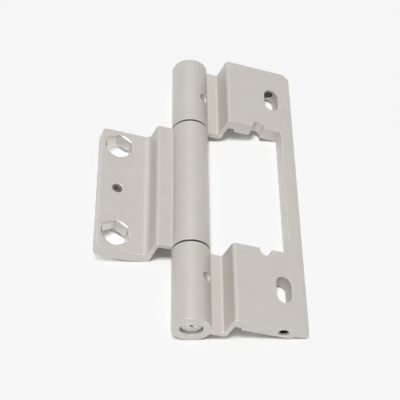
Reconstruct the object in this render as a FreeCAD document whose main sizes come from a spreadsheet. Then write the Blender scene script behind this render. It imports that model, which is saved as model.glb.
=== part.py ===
"""Three-knuckle lift off hinge for a door: two extruded aluminium leaves on a steel pin.

The leaves are Z-shaped extrusions. From the knuckle a web runs out at the height of the pin, a step
wall turns up (frame leaf) or down (door leaf), and a thick plate carries the fixings. The frame leaf's
middle is milled out, so that the door leaf folds into that window when the door is shut.

Sizes are in millimetres. Every piece is drawn about the pin (pin along Y, plates level) and then set
so that the origin is the middle of the frame leaf's two slots, on its mounting face.
"""
import FreeCAD, Part
import math
import os
import Sketcher
from FreeCAD import Placement, Rotation, Vector

DRIVING_SIZES = {
    # whole hinge
    "hinge_length": 176.0,
    "lug_length": 46.2,
    "knuckle_diameter": 20.0,
    "step_wall": 2.4,
    "step_lean": 4.5,
    "fold_round": 2.0,
    "foot_round": 3.0,
    "inner_round": 1.0,
    "under_round": 2.0,
    # pin and bushes
    "pin_diameter": 12.0,
    "pin_recess": 1.8,
    "pin_chamfer": 0.7,
    "pin_centre_diameter": 2.4,
    "pin_fit": 0.03,
    "bush_fit": 0.05,
    "bush_wall": 1.5,
    "bush_sleeve": 25.0,
    "flange_thickness": 1.2,
    "flange_inset": 0.35,
    "end_play": 0.1,
    # frame leaf
    "frame_web_top": 2.0,
    "frame_web": 3.2,
    "frame_step": 16.4,
    "frame_plate_top": 15.3,
    "frame_plate": 8.0,
    "frame_recess_width": 3.9,
    "frame_recess_depth": 1.9,
    "frame_edge": 57.0,
    "edge_bevel_width": 3.6,
    "edge_bevel_drop": 1.4,
    "edge_land": 2.7,
    "lip_width": 6.4,
    "lip_thickness": 5.8,
    "lip_bevel_width": 3.1,
    "bridge_width": 7.9,
    "corner_run": 5.0,
    "corner_drop": 2.0,
    "slot_line": 44.3,
    "slot_inset": 23.0,
    "slot_width": 8.4,
    "slot_length": 15.6,
    "notch_line": 35.7,
    "notch_radius": 3.4,
    "notch_inset": 0.8,
    # door leaf
    "door_web_under": 2.65,
    "door_web": 2.6,
    "door_step": 16.7,
    "door_plate_drop": 11.6,
    "door_plate": 7.6,
    "door_rebate_width": 6.1,
    "door_rebate_depth": 1.1,
    "door_edge": 47.2,
    "door_corner": 2.5,
    "hex_line": 37.4,
    "hex_inset": 10.8,
    "hex_across": 14.0,
    "hex_chamfer": 0.9,
    # M6 tapped holes, drawn at the thread's mean diameter, and their grub screws
    "thread_diameter": 5.5,
    "thread_fit": 0.05,
    "thread_chamfer": 0.35,
    "socket_across": 3.0,
    "socket_depth": 1.6,
    "screw_chamfer": 0.5,
    "pin_screw_inset": 27.0,
    "pin_screw_angle": 55.0,
    "pin_screw_share": 0.7,
    "height_screw_length": 8.0,
    "height_screw_recess": 7.0,
    "door_screw_length": 6.0,
    "door_screw_recess": 0.7,
}

SHEET = "Sizes"
UP = Vector(0, 0, 1)
HEXAGON_CORNER = 2 / math.sqrt(3)  # corner radius over half the width across flats
NEAR = 1e-4  # millimetres within which two points are the same

doc = FreeCAD.newDocument("lift_off_hinge")


def make_sheet():
    """Writes each driving size to a named cell."""
    sheet = doc.addObject("Spreadsheet::Sheet", SHEET)
    for row, (name, length) in enumerate(DRIVING_SIZES.items(), start=1):
        sheet.set(f"A{row}", name)
        sheet.set(f"B{row}", str(length))
        sheet.setAlias(f"B{row}", name)
    doc.recompute()
    return sheet


sheet = make_sheet()


def size(formula):
    """Turns a formula of size names, such as "{slot_line} / 2", into an expression on the sheet."""
    cells = {name: f"{SHEET}.{name}" for name in DRIVING_SIZES}
    return "(" + formula.format(**cells) + ")"


def number(expression):
    """The present value of an expression, as a plain number of millimetres or degrees."""
    result = sheet.evalExpression(expression)
    return float(getattr(result, "Value", result))


# Lengths that follow from the driving sizes
KNUCKLE_R = size("{knuckle_diameter} / 2")
PIN_R = size("{pin_diameter} / 2")
HALF_HINGE = size("{hinge_length} / 2")
HALF_WINDOW = size("{hinge_length} / 2 - {lug_length}")
HALF_DOOR = size("{hinge_length} / 2 - {lug_length} - {flange_thickness} - {end_play}")
FRAME_SEAT = size("{frame_plate_top} - {frame_plate}")
FRAME_MIDDLE = size("{frame_plate_top} - {frame_plate} / 2")
FRAME_BORE_R = size("{pin_diameter} / 2 + {pin_fit}")
BUSH_BORE_R = size("{pin_diameter} / 2 + {bush_fit}")
BUSH_R = size("{pin_diameter} / 2 + {bush_fit} + {bush_wall}")
DOOR_TOP = size("-{door_plate_drop}")
DOOR_SEAT = size("-{door_plate_drop} - {door_plate}")
SLOT_PLACE = size("{hinge_length} / 2 - {slot_inset}")
PIN_SCREW_PLACE = size("{hinge_length} / 2 - {pin_screw_inset}")
SCREW_R = size("{thread_diameter} / 2 - {thread_fit}")
LEAN = size("tan({step_lean} * 1deg)")


def frame_step_face(level, wall=False):
    """X of the frame leaf's step at a level: its face on the pin's side, or its far face with wall."""
    thickness = size("{step_wall}") if wall else "0"
    return f"({size('{frame_step}')} + {thickness} + ({level} - {size('{frame_web_top}')}) * {LEAN})"


def door_step_face(level, wall=False):
    """X of the door leaf's step at a level: its face on the pin's side, or its far face with wall."""
    thickness = size("{step_wall}") if wall else "0"
    return f"-({size('{door_step}')} + {thickness} - ({size('{door_web_under}')} + {level}) * {LEAN})"


def origin_plane(body, role):
    """One of the body's own origin planes or axes, by its role."""
    return next(item for item in body.Origin.OriginFeatures if item.Role == role)


def new_body(label):
    """A body whose pin-centred drawing is set about the origin of the whole part."""
    body = doc.addObject("PartDesign::Body", label)
    body.Label = label
    body.setExpression("Placement.Base.x", size("-{slot_line}"))
    body.setExpression("Placement.Base.z", f"-{FRAME_SEAT}")
    return body


def new_sketch(body, role, name, lift=None):
    """A sketch on an origin plane of its body, lifted along the plane's normal if wanted."""
    sketch = body.newObject("Sketcher::SketchObject", name)
    sketch.AttachmentSupport = [(origin_plane(body, role), "")]
    sketch.MapMode = "FlatFace"
    if lift:
        sketch.setExpression("AttachmentOffset.Base.z", lift)
    return sketch


def pin_point(sketch, geometry, point, across, along):
    """Holds a point of a sketch at two expressions, measured from the sketch's origin."""
    for kind, expression in (("DistanceX", across), ("DistanceY", along)):
        index = sketch.addConstraint(
            Sketcher.Constraint(kind, -1, 1, geometry, point, number(expression)))
        sketch.setExpression(f"Constraints[{index}]", expression)


def add_polygon(sketch, corners):
    """A closed outline of straight sides through corners given as pairs of expressions."""
    places = [Vector(number(across), number(along), 0) for across, along in corners]
    sides = [sketch.addGeometry(Part.LineSegment(start, end))
             for start, end in zip(places, places[1:] + places[:1])]
    for side, following in zip(sides, sides[1:] + sides[:1]):
        sketch.addConstraint(Sketcher.Constraint("Coincident", side, 2, following, 1))
    for side, (across, along) in zip(sides, corners):
        pin_point(sketch, side, 1, across, along)


def add_circle(sketch, across, along, radius):
    """A circle with its centre and radius bound to expressions."""
    centre = Vector(number(across), number(along), 0)
    circle = sketch.addGeometry(Part.Circle(centre, UP, number(radius)))
    pin_point(sketch, circle, 3, across, along)
    index = sketch.addConstraint(Sketcher.Constraint("Radius", circle, number(radius)))
    sketch.setExpression(f"Constraints[{index}]", radius)


def add_slot(sketch, across, along, half_width, half_straight):
    """A slot along the sketch's Y axis: two half circles and the two sides that join them."""
    x, y = number(across), number(along)
    r, s = number(half_width), number(half_straight)
    upper_circle = Part.Circle(Vector(x, y + s, 0), UP, r)
    lower_circle = Part.Circle(Vector(x, y - s, 0), UP, r)
    upper = sketch.addGeometry(Part.ArcOfCircle(upper_circle, 0, math.pi))
    lower = sketch.addGeometry(Part.ArcOfCircle(lower_circle, math.pi, 2 * math.pi))
    left = sketch.addGeometry(Part.LineSegment(Vector(x - r, y + s, 0), Vector(x - r, y - s, 0)))
    right = sketch.addGeometry(Part.LineSegment(Vector(x + r, y - s, 0), Vector(x + r, y + s, 0)))
    for first, first_end, second, second_end in ((upper, 2, left, 1), (left, 2, lower, 1),
                                                 (lower, 2, right, 1), (right, 2, upper, 1)):
        sketch.addConstraint(Sketcher.Constraint("Tangent", first, first_end, second, second_end))
    pin_point(sketch, upper, 3, across, f"({along} + {half_straight})")
    pin_point(sketch, lower, 3, across, f"({along} - {half_straight})")
    index = sketch.addConstraint(Sketcher.Constraint("Radius", upper, r))
    sketch.setExpression(f"Constraints[{index}]", half_width)


def add_hexagon(sketch, across, along, half_width):
    """A hexagon with two corners on a line along Y. half_width is half its width across flats."""
    corner_r = f"({half_width} * {HEXAGON_CORNER})"
    add_polygon(sketch, [(f"({across} + {corner_r} * sin({turn}deg))",
                          f"({along} + {corner_r} * cos({turn}deg))") for turn in range(0, 360, 60)])


def pad_along_pin(body, sketch, half_length):
    """Extrudes a section equally to both sides of the hinge's middle."""
    pad = body.newObject("PartDesign::Pad", sketch.Name + "_pad")
    pad.Profile = sketch
    pad.SideType = "Symmetric"
    pad.setExpression("Length", f"2 * {half_length}")
    doc.recompute()
    return pad


def cut_through(body, sketch, both_sides=True):
    """Cuts a sketch right through the body, to both sides of its plane or only along its normal."""
    pocket = body.newObject("PartDesign::Pocket", sketch.Name + "_cut")
    pocket.Profile = sketch
    pocket.SideType = "Symmetric" if both_sides else "One side"
    pocket.Type = "ThroughAll"
    pocket.Reversed = not both_sides
    return finish_cut(body, pocket)


def cut_to_depth(body, sketch, depth):
    """Cuts a sketch to a depth, against its plane's normal."""
    pocket = body.newObject("PartDesign::Pocket", sketch.Name + "_cut")
    pocket.Profile = sketch
    pocket.setExpression("Length", depth)
    return finish_cut(body, pocket)


def finish_cut(body, feature):
    """Recomputes a cut and checks that it took something away."""
    before = feature.BaseFeature.Shape.Volume
    doc.recompute()
    if not feature.Shape.Volume < before - NEAR:
        raise RuntimeError(f"{body.Label}: {feature.Name} cuts nothing")
    return feature


def chamfer_mouth(body, name, across, along, mouth, throat_r, chamfer):
    """A round 45 degree chamfer at the upper mouth of a hole."""
    cone = body.newObject("PartDesign::SubtractiveCone", name)
    cone.AttachmentSupport = [(origin_plane(body, "XY_Plane"), "")]
    cone.MapMode = "FlatFace"
    cone.setExpression("AttachmentOffset.Base.x", across)
    cone.setExpression("AttachmentOffset.Base.y", along)
    cone.setExpression("AttachmentOffset.Base.z", f"{mouth} - {chamfer}")
    cone.setExpression("Radius1", throat_r)
    cone.setExpression("Radius2", f"{throat_r} + {chamfer}")
    cone.setExpression("Height", chamfer)
    return finish_cut(body, cone)


def mirror_to_far_end(body, features):
    """Repeats features made at the near end at the far end."""
    mirror = body.newObject("PartDesign::Mirrored", features[0].Name + "_far")
    mirror.Originals = features
    mirror.MirrorPlane = (origin_plane(body, "XZ_Plane"), [""])
    body.Tip = mirror
    doc.recompute()
    return mirror


def edges_along_pin(shape, corners):
    """Names of the edges that run along the pin through the given section corners."""
    wanted = [(number(across), number(level)) for across, level in corners]
    return [f"Edge{index}" for index, edge in enumerate(shape.Edges, start=1)
            if any(all(abs(end.X - x) < NEAR and abs(end.Z - z) < NEAR for end in edge.Vertexes)
                   for x, z in wanted)]


def upright_edges(shape, across):
    """Names of the upright edges in a plane of constant X."""
    wanted = number(across)
    return [f"Edge{index}" for index, edge in enumerate(shape.Edges, start=1)
            if all(abs(end.X - wanted) < NEAR for end in edge.Vertexes)
            and edge.BoundBox.YLength < NEAR < edge.BoundBox.ZLength]


def fillet_edges(body, name, base, edges, radius):
    """Rounds named edges of a feature."""
    fillet = body.newObject("PartDesign::Fillet", name)
    fillet.Base = (base, edges)
    fillet.setExpression("Radius", radius)
    doc.recompute()
    return fillet


def round_edges(body, name, base, corners, radius):
    """Rounds the edges that run along the pin through the given section corners."""
    return fillet_edges(body, name, base, edges_along_pin(base.Shape, corners), radius)


def make_frame_leaf():
    """Leaf with the two outer knuckles: web, step up, slotted plate with a milled window."""
    body = new_body("frame_leaf")
    top = size("{frame_plate_top}")
    web_top = size("{frame_web_top}")
    web_under = size("{frame_web_top} - {frame_web}")
    recess = size("{frame_plate_top} - {frame_plate} + {frame_recess_depth}")
    lip_under = size("{frame_plate_top} - {lip_thickness}")
    edge = size("{frame_edge}")
    pad_end = size("{frame_edge} - {lip_width}")
    step_foot = (frame_step_face(web_top), web_top)
    fold = (frame_step_face(top), top)
    web_fold = (frame_step_face(web_under, wall=True), web_under)
    recess_corner = (frame_step_face(recess, wall=True), recess)
    pad_start = f"({recess_corner[0]} + {size('{frame_recess_width}')})"
    section = new_sketch(body, "XZ_Plane", "frame_section")
    add_polygon(section, [
        ("0", web_top),
        step_foot,
        fold,
        (size("{frame_edge} - {edge_bevel_width}"), top),
        (edge, size("{frame_plate_top} - {edge_bevel_drop}")),
        (edge, size("{frame_plate_top} - {edge_bevel_drop} - {edge_land}")),
        (size("{frame_edge} - {lip_bevel_width}"), lip_under),
        (pad_end, lip_under),
        (pad_end, FRAME_SEAT),
        (pad_start, FRAME_SEAT),
        (pad_start, recess),
        recess_corner,
        web_fold,
        ("0", web_under),
    ])
    leaf = pad_along_pin(body, section, HALF_HINGE)
    leaf = round_edges(body, "frame_fold", leaf, [fold], size("{fold_round}"))
    leaf = round_edges(body, "frame_under", leaf, [web_fold], size("{under_round}"))
    leaf = round_edges(body, "frame_inner", leaf, [step_foot, recess_corner], size("{inner_round}"))
    knuckle = new_sketch(body, "XZ_Plane", "frame_knuckle")
    add_circle(knuckle, "0", "0", KNUCKLE_R)
    pad_along_pin(body, knuckle, HALF_HINGE)

    bore = new_sketch(body, "XZ_Plane", "frame_bore")
    add_circle(bore, "0", "0", FRAME_BORE_R)
    cut_through(body, bore)

    window = new_sketch(body, "XY_Plane", "frame_window")
    beyond_knuckle = size("-{knuckle_diameter}")
    window_side = size("{frame_edge} - {bridge_width}")
    add_polygon(window, [(beyond_knuckle, f"-{HALF_WINDOW}"), (window_side, f"-{HALF_WINDOW}"),
                         (window_side, HALF_WINDOW), (beyond_knuckle, HALF_WINDOW)])
    cut_through(body, window)

    slots = new_sketch(body, "XY_Plane", "frame_slots")
    notches = new_sketch(body, "XY_Plane", "frame_notches")
    for end in ("-1", "1"):
        add_slot(slots, size("{slot_line}"), f"({end} * {SLOT_PLACE})", size("{slot_width} / 2"),
                 size("({slot_length} - {slot_width}) / 2"))
        add_circle(notches, size("{notch_line}"), f"({end} * ({HALF_WINDOW} + {size('{notch_inset}')}))",
                   size("{notch_radius}"))
    cut_through(body, slots)
    cut_through(body, notches)

    corner = new_sketch(body, "XY_Plane", "frame_far_corner")
    add_polygon(corner, [(f"({edge} - {size('{corner_run}')})", HALF_HINGE), (edge, HALF_HINGE),
                         (edge, f"({HALF_HINGE} - {size('{corner_drop}')})")])
    cut_through(body, corner)

    end_hole = new_sketch(body, "XZ_Plane", "frame_end_hole", lift=HALF_HINGE)
    add_circle(end_hole, size("{slot_line}"), FRAME_MIDDLE, size("{thread_diameter} / 2"))
    depth = f"({size('{slot_inset}')} - {size('({slot_length} - {slot_width}) / 2')})"
    end_cut = cut_to_depth(body, end_hole, depth)
    side_hole = new_sketch(body, "XY_Plane", "frame_side_hole")
    side_turn = size("90 - {pin_screw_angle}")
    side_hole.AttachmentOffset = Placement(Vector(), Rotation(Vector(0, 1, 0), number(side_turn)))
    side_hole.setExpression("AttachmentOffset.Rotation.Angle", side_turn)
    add_circle(side_hole, "0", f"-{PIN_SCREW_PLACE}", size("{thread_diameter} / 2"))
    side_cut = cut_through(body, side_hole, both_sides=False)
    mirror_to_far_end(body, [end_cut, side_cut])
    return body


def make_door_leaf():
    """Leaf with the centre knuckle: web, step down, plate with two hexagonal holes."""
    body = new_body("door_leaf")
    web_under = size("-{door_web_under}")
    web_top = size("{door_web} - {door_web_under}")
    rebate = size("{door_rebate_depth} - {door_plate_drop} - {door_plate}")
    edge = size("-{door_edge}")
    upper_fold = (door_step_face(web_top, wall=True), web_top)
    step_foot = (door_step_face(DOOR_TOP, wall=True), DOOR_TOP)
    under_fold = (door_step_face(rebate), rebate)
    under_corner = (door_step_face(web_under), web_under)
    rebate_end = f"({under_fold[0]} - {size('{door_rebate_width}')})"
    section = new_sketch(body, "XZ_Plane", "door_section")
    add_polygon(section, [
        ("0", web_top),
        upper_fold,
        step_foot,
        (edge, DOOR_TOP),
        (edge, DOOR_SEAT),
        (rebate_end, DOOR_SEAT),
        (rebate_end, rebate),
        under_fold,
        under_corner,
        ("0", web_under),
    ])
    leaf = pad_along_pin(body, section, HALF_DOOR)
    leaf = fillet_edges(body, "door_corners", leaf, upright_edges(leaf.Shape, edge), size("{door_corner}"))
    leaf = round_edges(body, "door_fold", leaf, [upper_fold], size("{fold_round}"))
    leaf = round_edges(body, "door_foot", leaf, [step_foot], size("{foot_round}"))
    leaf = round_edges(body, "door_under", leaf, [under_fold], size("{under_round}"))
    leaf = round_edges(body, "door_inner", leaf, [under_corner], size("{inner_round}"))
    knuckle = new_sketch(body, "XZ_Plane", "door_knuckle")
    add_circle(knuckle, "0", "0", KNUCKLE_R)
    pad_along_pin(body, knuckle, HALF_DOOR)

    bore = new_sketch(body, "XZ_Plane", "door_bore")
    add_circle(bore, "0", "0", BUSH_R)
    cut_through(body, bore)

    line = size("-{hex_line}")
    half_hexagon = size("{hex_across} / 2")
    for end, sign in (("near", "-"), ("far", "")):
        place = f"({sign}({HALF_DOOR} - {size('{hex_inset}')}))"
        hexagon = new_sketch(body, "XY_Plane", f"door_hexagon_{end}")
        add_hexagon(hexagon, line, place, half_hexagon)
        cut_through(body, hexagon)
        chamfer_mouth(body, f"door_hexagon_{end}_mouth", line, place, DOOR_TOP, half_hexagon,
                      size("{hex_chamfer}"))

    thread_r = size("{thread_diameter} / 2")
    tapped = new_sketch(body, "XY_Plane", "door_tapped_hole")
    add_circle(tapped, line, "0", thread_r)
    cut_through(body, tapped)
    chamfer_mouth(body, "door_tapped_mouth", line, "0", DOOR_TOP, thread_r, size("{thread_chamfer}"))
    return body


def turn_about_pin(body, name, corners):
    """A turned piece: a half section of (radius, place along the pin) corners, revolved about the pin."""
    sketch = new_sketch(body, "XY_Plane", name)
    add_polygon(sketch, corners)
    turned = body.newObject("PartDesign::Revolution", name + "_turned")
    turned.Profile = sketch
    turned.ReferenceAxis = (origin_plane(body, "Y_Axis"), [""])
    turned.Angle = 360
    doc.recompute()
    return turned


def make_hinge_pin():
    """Plain pin, chamfered and centre drilled at both ends, set back inside the outer knuckles."""
    body = new_body("hinge_pin")
    half = size("{hinge_length} / 2 - {pin_recess}")
    chamfer = size("{pin_chamfer}")
    centre_r = size("{pin_centre_diameter} / 2")
    face_r = f"({PIN_R} - {chamfer})"
    turn_about_pin(body, "pin_section", [
        ("0", f"-({half} - {centre_r})"),
        (centre_r, f"-{half}"),
        (face_r, f"-{half}"),
        (PIN_R, f"-({half} - {chamfer})"),
        (PIN_R, f"({half} - {chamfer})"),
        (face_r, half),
        (centre_r, half),
        ("0", f"({half} - {centre_r})"),
    ])
    return body


def make_bush(label, sign):
    """Flanged bush: a sleeve in the centre knuckle, and a flange that keeps the knuckles apart."""
    body = new_body(label)
    seat = f"({sign}{HALF_DOOR})"
    rim = f"({sign}({HALF_DOOR} + {size('{flange_thickness}')}))"
    tip = f"({sign}({HALF_DOOR} - {size('{bush_sleeve}')}))"
    flange_r = size("{knuckle_diameter} / 2 - {flange_inset}")
    turn_about_pin(body, label + "_section", [(BUSH_BORE_R, tip), (BUSH_R, tip), (BUSH_R, seat),
                                              (flange_r, seat), (flange_r, rim), (BUSH_BORE_R, rim)])
    return body


def make_grub_screw(label, length, place, direction):
    """Grub screw with a hexagon socket. Its socket end is at place and it points along direction.

    The screw is turned about its own Z axis with the socket at the top, then set in the hinge.
    """
    body = doc.addObject("PartDesign::Body", label)
    body.Label = label
    chamfer = size("{screw_chamfer}")
    sketch = new_sketch(body, "XZ_Plane", label + "_section")
    face_r = f"({SCREW_R} - {chamfer})"
    tip = f"-{length}"
    add_polygon(sketch, [("0", "0"), (face_r, "0"), (SCREW_R, f"-{chamfer}"),
                         (SCREW_R, f"{tip} + {chamfer}"), (face_r, tip), ("0", tip)])
    turned = body.newObject("PartDesign::Revolution", label + "_turned")
    turned.Profile = sketch
    turned.ReferenceAxis = (origin_plane(body, "Z_Axis"), [""])
    turned.Angle = 360
    doc.recompute()
    socket = new_sketch(body, "XY_Plane", label + "_socket")
    add_hexagon(socket, "0", "0", size("{socket_across} / 2"))
    cut_to_depth(body, socket, size("{socket_depth}"))
    body.Placement = Placement(Vector(), Rotation(-UP, direction))
    across, along, level = place
    body.setExpression("Placement.Base.x", f"{across} - {size('{slot_line}')}")
    body.setExpression("Placement.Base.y", along)
    body.setExpression("Placement.Base.z", f"{level} - {FRAME_SEAT}")
    return body


def make_grub_screws():
    """Two screws that lock the pin, two that set the height, and one in the door leaf's plate.

    A pin screw stands on the pin and fills its share of the knuckle's wall.
    """
    screws = []
    angle = size("{pin_screw_angle} * 1deg")
    pin_screw_length = f"({size('{pin_screw_share}')} * ({KNUCKLE_R} - {FRAME_BORE_R}))"
    head_r = f"({FRAME_BORE_R} + {pin_screw_length})"
    pin_head = (f"{head_r} * cos({angle})", f"{head_r} * sin({angle})")
    towards_pin = Vector(-number(pin_head[0]), 0, -number(pin_head[1]))
    head_depth = f"({HALF_HINGE} - {size('{height_screw_recess}')})"
    for end, sign in (("near", -1), ("far", 1)):
        pin_screw_place = (pin_head[0], f"{sign} * {PIN_SCREW_PLACE}", pin_head[1])
        screws.append(make_grub_screw(f"pin_grub_screw_{end}", pin_screw_length,
                                      pin_screw_place, towards_pin))
        height_screw_place = (size("{slot_line}"), f"{sign} * {head_depth}", FRAME_MIDDLE)
        screws.append(make_grub_screw(f"height_grub_screw_{end}", size("{height_screw_length}"),
                                      height_screw_place, Vector(0, -sign, 0)))
    door_screw_place = (size("-{hex_line}"), "0", f"{DOOR_TOP} - {size('{door_screw_recess}')}")
    screws.append(make_grub_screw("door_grub_screw", size("{door_screw_length}"), door_screw_place, -UP))
    return screws


def write_steps(pieces):
    """Checks every object and shape, then writes each piece to its own STEP file."""
    doc.recompute()
    for item in doc.Objects:
        if "Invalid" in item.State or "Error" in item.State:
            raise RuntimeError(f"{item.Label} failed: {item.State}")
    for piece in pieces:
        shape = piece.Shape
        if shape.isNull() or not shape.isValid() or len(shape.Solids) != 1:
            raise RuntimeError(f"{piece.Label} is not one valid solid")
    os.makedirs("parts", exist_ok=True)
    for piece in pieces:
        piece.Shape.exportStep(f"parts/{piece.Label}.step")
        print(f"{piece.Label}: {piece.Shape.Volume:.1f} mm3")


write_steps([make_frame_leaf(), make_door_leaf(), make_hinge_pin(),
             make_bush("bush_near", "-"), make_bush("bush_far", "")] + make_grub_screws())
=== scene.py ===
"""Looks of the lift off hinge: powder-coated leaves, turned pin, black bushes and grub screws.

The CAD pieces keep their shapes and get materials. The threads in the frame leaf's end holes are made here.
Lengths are in metres, and in millimetres where a name ends in mm.
"""

import math

import bpy
import numpy as np
from mathutils import Matrix, Vector


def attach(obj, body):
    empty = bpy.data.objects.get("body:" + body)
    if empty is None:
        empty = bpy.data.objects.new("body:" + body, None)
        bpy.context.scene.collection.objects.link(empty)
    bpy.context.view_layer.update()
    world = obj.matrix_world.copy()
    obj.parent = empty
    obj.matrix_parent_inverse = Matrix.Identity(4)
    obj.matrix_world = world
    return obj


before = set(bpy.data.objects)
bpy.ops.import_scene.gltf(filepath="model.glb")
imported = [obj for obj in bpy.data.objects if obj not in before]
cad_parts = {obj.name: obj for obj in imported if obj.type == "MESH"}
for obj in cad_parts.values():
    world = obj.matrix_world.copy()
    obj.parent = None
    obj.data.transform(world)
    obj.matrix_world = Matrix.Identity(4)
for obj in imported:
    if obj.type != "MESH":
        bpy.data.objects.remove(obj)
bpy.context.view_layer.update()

MM = 0.001

# The camera stands in front of the hinge, above it and to its left, and leans with the table.
CAMERA_PLACE = Vector((-197.5, -368.1, 428.8)) * MM
CAMERA_BACK = Vector((-0.2696, -0.6150, 0.7410))
CAMERA_UP = Vector((-0.1971, 0.7885, 0.5826))
CAMERA_LENS_MM = 98.67
SENSOR_MM = 36.0

# The hinge lies on the knuckles and on the lip of the frame leaf, so the table leans about the pin.
PIN_PLACE = Vector((-44.3, 0, -7.3)) * MM
KNUCKLE_RADIUS = 10 * MM
TABLE_LEAN = math.radians(19.4)
TABLE_CLEAR = 0.15 * MM

# M6 threads in the end holes of the frame leaf
HOLE_RADIUS = 2.75 * MM
HOLE_LEVEL = 4.0 * MM
HALF_HINGE = 88 * MM
THREAD_PITCH = 1.0 * MM
THREAD_HEIGHT = 0.4 * MM
THREAD_START = 0.4 * MM
THREAD_LENGTH = 6.2 * MM

# The hexagonal holes of the door leaf: their distances from the frame's middle, and the chamfer's radius
HEXAGON_LINE = 81.7 * MM
HEXAGON_PLACE = 29.7 * MM
HEXAGON_MOUTH = 7.95 * MM

PAPER_WHITE = "#f7f7f7"

# Sockets of a Mix node that is set to colours
MIX_SHARE, MIX_FROM, MIX_TO, MIX_RESULT = 0, 6, 7, 2


def linear(hex_colour):
    """A colour such as "#c4c0bb", from sRGB to linear red, green, blue and alpha."""
    srgb = np.array([int(hex_colour[i:i + 2], 16) for i in (1, 3, 5)]) / 255
    values = np.where(srgb <= 0.04045, srgb / 12.92, ((srgb + 0.055) / 1.055) ** 2.4)
    return (*values.tolist(), 1.0)


def per_metre(size_mm):
    """The scale of a texture whose features are this many millimetres wide."""
    return 1 / (size_mm * MM)


def add_node(tree, kind, inputs=None, stops=(), **settings):
    """Adds a shader node. An input is a number, a colour, or the output socket that is linked to it.

    The stops of a colour ramp are pairs of a place from 0 to 1 and a colour.
    """
    node = tree.nodes.new("ShaderNode" + kind)
    for name, value in settings.items():
        setattr(node, name, value)
    for name, value in (inputs or {}).items():
        if isinstance(value, bpy.types.NodeSocket):
            tree.links.new(value, node.inputs[name])
        else:
            node.inputs[name].default_value = value
    for i, (place, hex_colour) in enumerate(stops):
        node.color_ramp.elements[i].position = place
        node.color_ramp.elements[i].color = linear(hex_colour)
    return node


def new_material(name):
    """An empty node material, its tree and its output node."""
    material = bpy.data.materials.new(name)
    material.use_nodes = True
    tree = material.node_tree
    tree.nodes.clear()
    return material, tree, add_node(tree, "OutputMaterial")


def powder_coated_aluminium():
    """Extruded aluminium under a satin powder coat in warm light grey, bare in the hexagonal holes.

    The coat flows out into a faint orange peel and mottles a little. Along the edges a paler line is
    painted as a highlight, and the coat is shinier there. The peel of a real coat is too fine to show, so
    it is drawn coarser.
    The hexagons are broached and chamfered after coating: bright metal with fine upright tool marks.
    """
    peel_mm, mottle_mm, edge_mm, broach_mm, depth_mm = 1.4, 9.0, 0.6, 0.3, 0.006
    smoothest, roughest, edge_roughness = 0.42, 0.5, 0.25
    # Cosines between a face and its rounded edges, where the painted highlight begins and where it is full
    highlight_begins, highlight_full = 0.995, 0.85
    # Faces that rise less than this look down, and belong to the leaf's coated underside
    underside_rise = -0.5
    material, tree, output = new_material("powder_coated_aluminium")
    coordinates = add_node(tree, "TexCoord")
    place = coordinates.outputs["Object"]

    mottle = add_node(tree, "TexNoise", {"Vector": place, "Scale": per_metre(mottle_mm), "Detail": 3.0})
    peel = add_node(tree, "TexNoise", {"Vector": place, "Scale": per_metre(peel_mm), "Detail": 2.0})
    rounded = add_node(tree, "Bevel", {"Radius": edge_mm * MM}, samples=6)
    flat = add_node(tree, "NewGeometry").outputs["Normal"]
    facing = add_node(tree, "VectorMath", {0: rounded.outputs["Normal"], 1: flat},
                      operation="DOT_PRODUCT")
    edge_highlight = add_node(tree, "MapRange", {"Value": facing.outputs["Value"], "From Min": highlight_begins,
                                       "From Max": highlight_full})
    coat = add_node(tree, "ValToRGB", {"Fac": mottle.outputs["Fac"]},
                    stops=((0.3, "#c8c3bd"), (0.7, "#ccc7c1")))
    # Painted highlight: the coat's colour turns paler along the edges
    colour = add_node(tree, "Mix", {MIX_SHARE: edge_highlight.outputs["Result"], MIX_FROM: coat.outputs["Color"],
                                    MIX_TO: linear("#efece8")}, data_type="RGBA")
    satin = add_node(tree, "MapRange", {"Value": peel.outputs["Fac"], "To Min": smoothest,
                                        "To Max": roughest})
    rough = add_node(tree, "MapRange", {"Value": edge_highlight.outputs["Result"], "To Min": satin.outputs["Result"],
                                        "To Max": edge_roughness})
    bump = add_node(tree, "Bump", {"Height": peel.outputs["Fac"], "Strength": 0.6,
                                   "Distance": depth_mm * MM, "Normal": rounded.outputs["Normal"]})
    coated = add_node(tree, "BsdfPrincipled", {"Base Color": colour.outputs[MIX_RESULT], "Metallic": 0.2,
                                               "Diffuse Roughness": 0.15,
                                               "Roughness": rough.outputs["Result"],
                                               "Normal": bump.outputs["Normal"]})

    level = add_node(tree, "VectorMath", {0: place, 1: (1, 1, 0)}, operation="MULTIPLY")
    folded = add_node(tree, "VectorMath", {0: level.outputs["Vector"]}, operation="ABSOLUTE")
    from_axis = add_node(tree, "VectorMath", {0: folded.outputs["Vector"],
                                              1: (HEXAGON_LINE, HEXAGON_PLACE, 0)}, operation="DISTANCE")
    in_mouth = add_node(tree, "Math", {0: from_axis.outputs["Value"], 1: HEXAGON_MOUTH},
                        operation="LESS_THAN")
    rise = add_node(tree, "VectorMath", {0: coordinates.outputs["Normal"], 1: (0, 0, 1)},
                    operation="DOT_PRODUCT")
    above = add_node(tree, "Math", {0: rise.outputs["Value"], 1: underside_rise}, operation="GREATER_THAN")
    in_hexagon = add_node(tree, "Math", {0: in_mouth.outputs["Value"], 1: above.outputs["Value"]},
                          operation="MULTIPLY")
    marks = add_node(tree, "TexNoise", {"Vector": level.outputs["Vector"], "Scale": per_metre(broach_mm)})
    tooled = add_node(tree, "Bump", {"Height": marks.outputs["Fac"], "Strength": 0.5,
                                     "Distance": depth_mm * MM, "Normal": rounded.outputs["Normal"]})
    bare = add_node(tree, "BsdfPrincipled", {"Base Color": linear("#d0cdc8"), "Metallic": 1.0,
                                             "Roughness": 0.34, "Normal": tooled.outputs["Normal"]})
    both = add_node(tree, "MixShader", {0: in_hexagon.outputs["Value"], 1: coated.outputs["BSDF"],
                                        2: bare.outputs["BSDF"]})
    tree.links.new(both.outputs["Shader"], output.inputs["Surface"])
    return material


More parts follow.
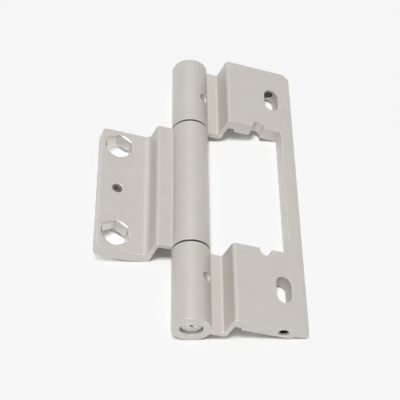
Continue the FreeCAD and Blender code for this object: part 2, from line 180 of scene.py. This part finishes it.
def turned_stainless_steel():
    """Bright-drawn stainless bar with ends faced on a lathe: rings about the pin, a soft grey shine.

    The tool's feed marks are drawn 1 mm apart, coarser than real ones, so that they show. A dark spot is
    painted in the middle of each end as the shade in the dimple that the drill left when it centred the
    bar.
    """
    feed_mm, smudge_mm, edge_mm, depth_mm = 1.0, 2.0, 0.15, 0.012
    dimple_shade_mm, dimple_shade_full_mm = 1.1, 0.77
    # A Wave texture of scale 1 turns through this many radians in each unit of length
    wave_radians = 20
    material, tree, output = new_material("turned_stainless_steel")
    place = add_node(tree, "TexCoord").outputs["Object"]
    centred = add_node(tree, "Mapping", {"Vector": place, "Location": -PIN_PLACE})
    rings = add_node(tree, "TexWave", {"Vector": centred.outputs["Vector"], "Distortion": 0.4,
                                       "Scale": per_metre(feed_mm) * 2 * math.pi / wave_radians},
                     wave_type="RINGS", rings_direction="Y")
    smudge = add_node(tree, "TexNoise", {"Vector": place, "Scale": per_metre(smudge_mm), "Detail": 4.0})
    tone = add_node(tree, "ValToRGB", {"Fac": smudge.outputs["Fac"]},
                    stops=((0.3, "#bbb9b5"), (0.7, "#e6e4e0")))
    across = add_node(tree, "VectorMath", {0: centred.outputs["Vector"], 1: (1, 0, 1)},
                      operation="MULTIPLY")
    from_axis = add_node(tree, "VectorMath", {0: across.outputs["Vector"]}, operation="LENGTH")
    # Painted shade: darker towards the axis on each end, for the shade in the centre drill's dimple
    centre_dimple_shade = add_node(tree, "MapRange", {"Value": from_axis.outputs["Value"], "From Min": dimple_shade_mm * MM,
                                          "From Max": dimple_shade_full_mm * MM})
    colour = add_node(tree, "Mix", {MIX_SHARE: centre_dimple_shade.outputs["Result"], MIX_FROM: tone.outputs["Color"],
                                    MIX_TO: linear("#6d6b67")}, data_type="RGBA")
    rough = add_node(tree, "MapRange", {"Value": smudge.outputs["Fac"], "To Min": 0.28, "To Max": 0.42})
    rounded = add_node(tree, "Bevel", {"Radius": edge_mm * MM}, samples=6)
    bump = add_node(tree, "Bump", {"Height": rings.outputs["Fac"], "Strength": 0.5,
                                   "Distance": depth_mm * MM, "Normal": rounded.outputs["Normal"]})
    shader = add_node(tree, "BsdfPrincipled", {"Base Color": colour.outputs[MIX_RESULT], "Metallic": 1.0,
                                               "Roughness": rough.outputs["Result"],
                                               "Normal": bump.outputs["Normal"]})
    tree.links.new(shader.outputs["BSDF"], output.inputs["Surface"])
    return material


def moulded_polyamide():
    """Black injection-moulded polyamide: matt, with the faint grain of a spark-eroded mould."""
    grain_mm, depth_mm = 0.5, 0.01
    material, tree, output = new_material("moulded_polyamide")
    place = add_node(tree, "TexCoord").outputs["Object"]
    grain = add_node(tree, "TexNoise", {"Vector": place, "Scale": per_metre(grain_mm), "Detail": 2.0})
    tone = add_node(tree, "ValToRGB", {"Fac": grain.outputs["Fac"]},
                    stops=((0.0, "#1f1d1c"), (1.0, "#2c2a28")))
    bump = add_node(tree, "Bump", {"Height": grain.outputs["Fac"], "Strength": 0.5,
                                   "Distance": depth_mm * MM})
    shader = add_node(tree, "BsdfPrincipled", {"Base Color": tone.outputs["Color"], "Roughness": 0.55,
                                               "Normal": bump.outputs["Normal"]})
    tree.links.new(shader.outputs["BSDF"], output.inputs["Surface"])
    return material


def tumbled_screw_steel(name, dark, pale):
    """A grub screw as rolled and tumbled: a little uneven between two greys, with softened edges."""
    tumble_mm, edge_mm, depth_mm = 0.8, 0.12, 0.01
    material, tree, output = new_material(name)
    place = add_node(tree, "TexCoord").outputs["Object"]
    tumble = add_node(tree, "TexNoise", {"Vector": place, "Scale": per_metre(tumble_mm), "Detail": 3.0})
    tone = add_node(tree, "ValToRGB", {"Fac": tumble.outputs["Fac"]}, stops=((0.0, dark), (1.0, pale)))
    rough = add_node(tree, "MapRange", {"Value": tumble.outputs["Fac"], "To Min": 0.3, "To Max": 0.5})
    rounded = add_node(tree, "Bevel", {"Radius": edge_mm * MM}, samples=6)
    bump = add_node(tree, "Bump", {"Height": tumble.outputs["Fac"], "Strength": 0.4,
                                   "Distance": depth_mm * MM, "Normal": rounded.outputs["Normal"]})
    shader = add_node(tree, "BsdfPrincipled", {"Base Color": tone.outputs["Color"], "Metallic": 1.0,
                                               "Roughness": rough.outputs["Result"],
                                               "Normal": bump.outputs["Normal"]})
    tree.links.new(shader.outputs["BSDF"], output.inputs["Surface"])
    return material


def tapped_aluminium():
    """A tapped hole: the coat has reached its first turns, and the bare thread behind is painted dark as
    shade.
    """
    tear_mm, coated_mm, bare_shaded_mm = 0.6, 0.8, 1.3
    material, tree, output = new_material("tapped_aluminium")
    place = add_node(tree, "TexCoord").outputs["Object"]
    along = add_node(tree, "SeparateXYZ", {"Vector": place})
    from_middle = add_node(tree, "Math", {0: along.outputs["Y"]}, operation="ABSOLUTE")
    # Painted shade: past the coat's first turns the bare thread turns nearly black, for the shade deep in
    # the hole
    bare = add_node(tree, "MapRange", {"Value": from_middle.outputs["Value"],
                                       "From Min": HALF_HINGE - coated_mm * MM,
                                       "From Max": HALF_HINGE - bare_shaded_mm * MM})
    torn = add_node(tree, "TexNoise", {"Vector": place, "Scale": per_metre(tear_mm), "Detail": 3.0})
    thread_shade = add_node(tree, "ValToRGB", {"Fac": torn.outputs["Fac"]},
                    stops=((0.0, "#131110"), (1.0, "#262321")))
    colour = add_node(tree, "Mix", {MIX_SHARE: bare.outputs["Result"], MIX_FROM: linear("#d6d2cc"),
                                    MIX_TO: thread_shade.outputs["Color"]}, data_type="RGBA")
    rough = add_node(tree, "MapRange", {"Value": torn.outputs["Fac"], "To Min": 0.35, "To Max": 0.5})
    shader = add_node(tree, "BsdfPrincipled", {"Base Color": colour.outputs[MIX_RESULT],
                                               "Metallic": bare.outputs["Result"],
                                               "Roughness": rough.outputs["Result"]})
    tree.links.new(shader.outputs["BSDF"], output.inputs["Surface"])
    return material


def new_mesh(name, points, faces, material):
    """An object at the origin from lists of points and faces."""
    mesh = bpy.data.meshes.new(name)
    mesh.from_pydata(points, [], faces)
    mesh.materials.append(material)
    piece = bpy.data.objects.new(name, mesh)
    bpy.context.scene.collection.objects.link(piece)
    return piece


def end_thread(name, side, material):
    """The thread in an end hole: a triangle carried along a helix, closed at both ends.

    Along the thread t runs from 0 to 1. There the helix is start + t length deep in the hole, at the
    angle 2 pi t length / pitch. The triangle's base lies in the hole's wall and its crest stands in by
    the thread's height, and both fade almost to nothing over half a turn at each end. The side is -1 or 1.
    """
    steps_a_turn, sunk = 40, 0.03 * MM
    half_base_share, least_fade, fades_a_turn = 0.46, 0.05, 2
    turns = THREAD_LENGTH / THREAD_PITCH
    t = np.linspace(0, 1, int(steps_a_turn * turns))
    fade = np.clip(np.minimum(t, 1 - t) * turns * fades_a_turn, least_fade, 1)
    angle = 2 * np.pi * turns * t
    depth = THREAD_START + THREAD_LENGTH * t
    half_base = half_base_share * THREAD_PITCH * fade
    wall = np.full_like(t, HOLE_RADIUS + sunk)
    radii = np.stack([wall, HOLE_RADIUS - THREAD_HEIGHT * fade, wall], axis=1)
    depths = np.stack([depth - half_base, depth, depth + half_base], axis=1)
    points = np.stack([radii * np.cos(angle)[:, None], side * (HALF_HINGE - depths),
                       HOLE_LEVEL + radii * np.sin(angle)[:, None]], axis=-1).reshape(-1, 3)
    rows = 3 * np.arange(len(t) - 1)[:, None]
    here, following = rows + np.arange(3), rows + (np.arange(3) + 1) % 3
    sides = np.stack([here, following, following + 3, here + 3], axis=-1).reshape(-1, 4)
    last = len(points)
    faces = sides.tolist() + [[2, 1, 0], [last - 3, last - 2, last - 1]]
    outwards = [face[::side] for face in faces]
    piece = new_mesh(name, points.tolist(), outwards, material)
    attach(piece, "frame")


def white_table_paper():
    """Matt white paper, lit to an even white, which keeps the hinge's shadow close under the hinge.

    How open the paper is comes from the share of the sky that nothing hides within a few millimetres,
    taken about a direction that leans to the back. Open paper shows an even white with a faint trace
    of the shadows, and throws light back at the hinge. Where the sky is hidden, the paper shows only
    the light that falls on it.
    The sheet is seen from above only, so that it hides nothing from a camera below it.
    """
    even_light, bounce, reach_mm = 0.9, 0.85, 14.0
    sky_middle = (0, 0.55, 0.835)
    sky_when_hidden, sky_when_open = 0.47, 0.77
    material, tree, output = new_material("white_table_paper")
    sky = add_node(tree, "AmbientOcclusion", {"Distance": reach_mm * MM, "Normal": sky_middle}, samples=8)
    openness = add_node(tree, "MapRange", {"Value": sky.outputs["AO"], "From Min": sky_when_hidden,
                                           "From Max": sky_when_open})
    matt = add_node(tree, "BsdfDiffuse", {"Color": linear(PAPER_WHITE)})
    thrown = add_node(tree, "Math", {0: openness.outputs["Result"], 1: bounce}, operation="MULTIPLY")
    around = add_node(tree, "Emission", {"Color": linear(PAPER_WHITE), "Strength": thrown.outputs["Value"]})
    paper = add_node(tree, "AddShader", {0: matt.outputs["BSDF"], 1: around.outputs["Emission"]})
    evened = add_node(tree, "Math", {0: openness.outputs["Result"], 1: even_light}, operation="MULTIPLY")
    glow = add_node(tree, "Emission", {"Color": linear(PAPER_WHITE), "Strength": 1.0})
    white = add_node(tree, "MixShader", {0: evened.outputs["Value"], 1: matt.outputs["BSDF"],
                                         2: glow.outputs["Emission"]})
    path = add_node(tree, "LightPath")
    seen = add_node(tree, "Math", {0: path.outputs["Is Camera Ray"], 1: path.outputs["Is Glossy Ray"]},
                    operation="MAXIMUM")
    lit = add_node(tree, "MixShader", {0: seen.outputs["Value"], 1: paper.outputs["Shader"],
                                       2: white.outputs["Shader"]})
    clear = add_node(tree, "BsdfTransparent")
    below = add_node(tree, "NewGeometry").outputs["Backfacing"]
    sheet = add_node(tree, "MixShader", {0: below, 1: lit.outputs["Shader"], 2: clear.outputs["BSDF"]})
    tree.links.new(sheet.outputs["Shader"], output.inputs["Surface"])
    return material


def table_point(x, y):
    """The point of the table over or under (x, y) of the part's frame."""
    normal = Vector((-math.sin(TABLE_LEAN), 0, math.cos(TABLE_LEAN)))
    foot = PIN_PLACE - normal * (KNUCKLE_RADIUS + TABLE_CLEAR)
    return Vector((x, y, foot.z + (x - foot.x) * math.tan(TABLE_LEAN)))


def make_table():
    """The pale table top under the hinge, two metres to each side."""
    half_size = 2.0
    corners = [table_point(a * half_size, b * half_size) for a, b in ((-1, -1), (1, -1), (1, 1), (-1, 1))]
    new_mesh("table_top", corners, [[0, 1, 2, 3]], white_table_paper())


def make_light(name, towards, distance, size, watts):
    """A square soft light over the hinge, in the direction given, facing the hinge."""
    lamp = bpy.data.lights.new(name, "AREA")
    lamp.size = size
    lamp.energy = watts
    light = bpy.data.objects.new(name, lamp)
    direction = Vector(towards).normalized()
    light.location = PIN_PLACE + direction * distance
    light.rotation_mode = "QUATERNION"
    light.rotation_quaternion = (-direction).to_track_quat("-Z", "Y")
    bpy.context.scene.collection.objects.link(light)


def make_world():
    """An even pale room: white to the eye, and a plain fill for the hinge."""
    fill_light = 0.1
    world = bpy.data.worlds.new("pale_room")
    world.use_nodes = True
    tree = world.node_tree
    tree.nodes.clear()
    fill = add_node(tree, "Background", {"Color": linear("#ffffff"), "Strength": fill_light})
    seen = add_node(tree, "Background", {"Color": linear(PAPER_WHITE), "Strength": 1.0})
    path = add_node(tree, "LightPath")
    glossy = add_node(tree, "Math", {0: path.outputs["Is Camera Ray"], 1: path.outputs["Is Glossy Ray"]},
                      operation="MAXIMUM")
    shown = add_node(tree, "Math", {0: glossy.outputs["Value"], 1: path.outputs["Is Transmission Ray"]},
                     operation="MAXIMUM")
    mix = add_node(tree, "MixShader", {0: shown.outputs["Value"], 1: fill.outputs["Background"],
                                       2: seen.outputs["Background"]})
    output = add_node(tree, "OutputWorld")
    tree.links.new(mix.outputs["Shader"], output.inputs["Surface"])
    bpy.context.scene.world = world


def make_camera():
    """The camera at the photograph's place and turn."""
    data = bpy.data.cameras.new("camera")
    data.sensor_width = SENSOR_MM
    data.lens = CAMERA_LENS_MM
    camera = bpy.data.objects.new("camera", data)
    back = CAMERA_BACK.normalized()
    right = CAMERA_UP.cross(back).normalized()
    up = back.cross(right)
    turn = Matrix((right, up, back)).transposed()
    camera.matrix_world = Matrix.Translation(CAMERA_PLACE) @ turn.to_4x4()
    bpy.context.scene.collection.objects.link(camera)
    bpy.context.scene.camera = camera


leaf_coat = powder_coated_aluminium()
pin_steel = turned_stainless_steel()
bush_plastic = moulded_polyamide()
plain_steel = tumbled_screw_steel("plain_stainless_steel", "#d8d5d0", "#f2f0ec")
oiled_steel = tumbled_screw_steel("oiled_stainless_steel", "#63605d", "#8a8783")
black_steel = tumbled_screw_steel("blackened_steel", "#3d3b39", "#5c5a57")
FINISHES = {
    "frame_leaf": leaf_coat,
    "door_leaf": leaf_coat,
    "hinge_pin": pin_steel,
    "bush_near": bush_plastic,
    "bush_far": bush_plastic,
    "pin_grub_screw_near": plain_steel,
    "pin_grub_screw_far": plain_steel,
    "height_grub_screw_near": black_steel,
    "height_grub_screw_far": black_steel,
    "door_grub_screw": oiled_steel,
}
for node_name, finish in FINISHES.items():
    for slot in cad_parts[node_name].material_slots:
        slot.material = finish
thread_metal = tapped_aluminium()
end_thread("end_thread_near", -1, thread_metal)
end_thread("end_thread_far", 1, thread_metal)

make_table()
make_light("key", towards=(-0.36, -0.17, 0.917), distance=2.5, size=0.6, watts=49.5)
make_light("back_window", towards=(-0.25, 0.615, 0.74), distance=2.0, size=1.2, watts=3.2)
make_world()
make_camera()
bpy.context.scene.view_settings.view_transform = "Standard"
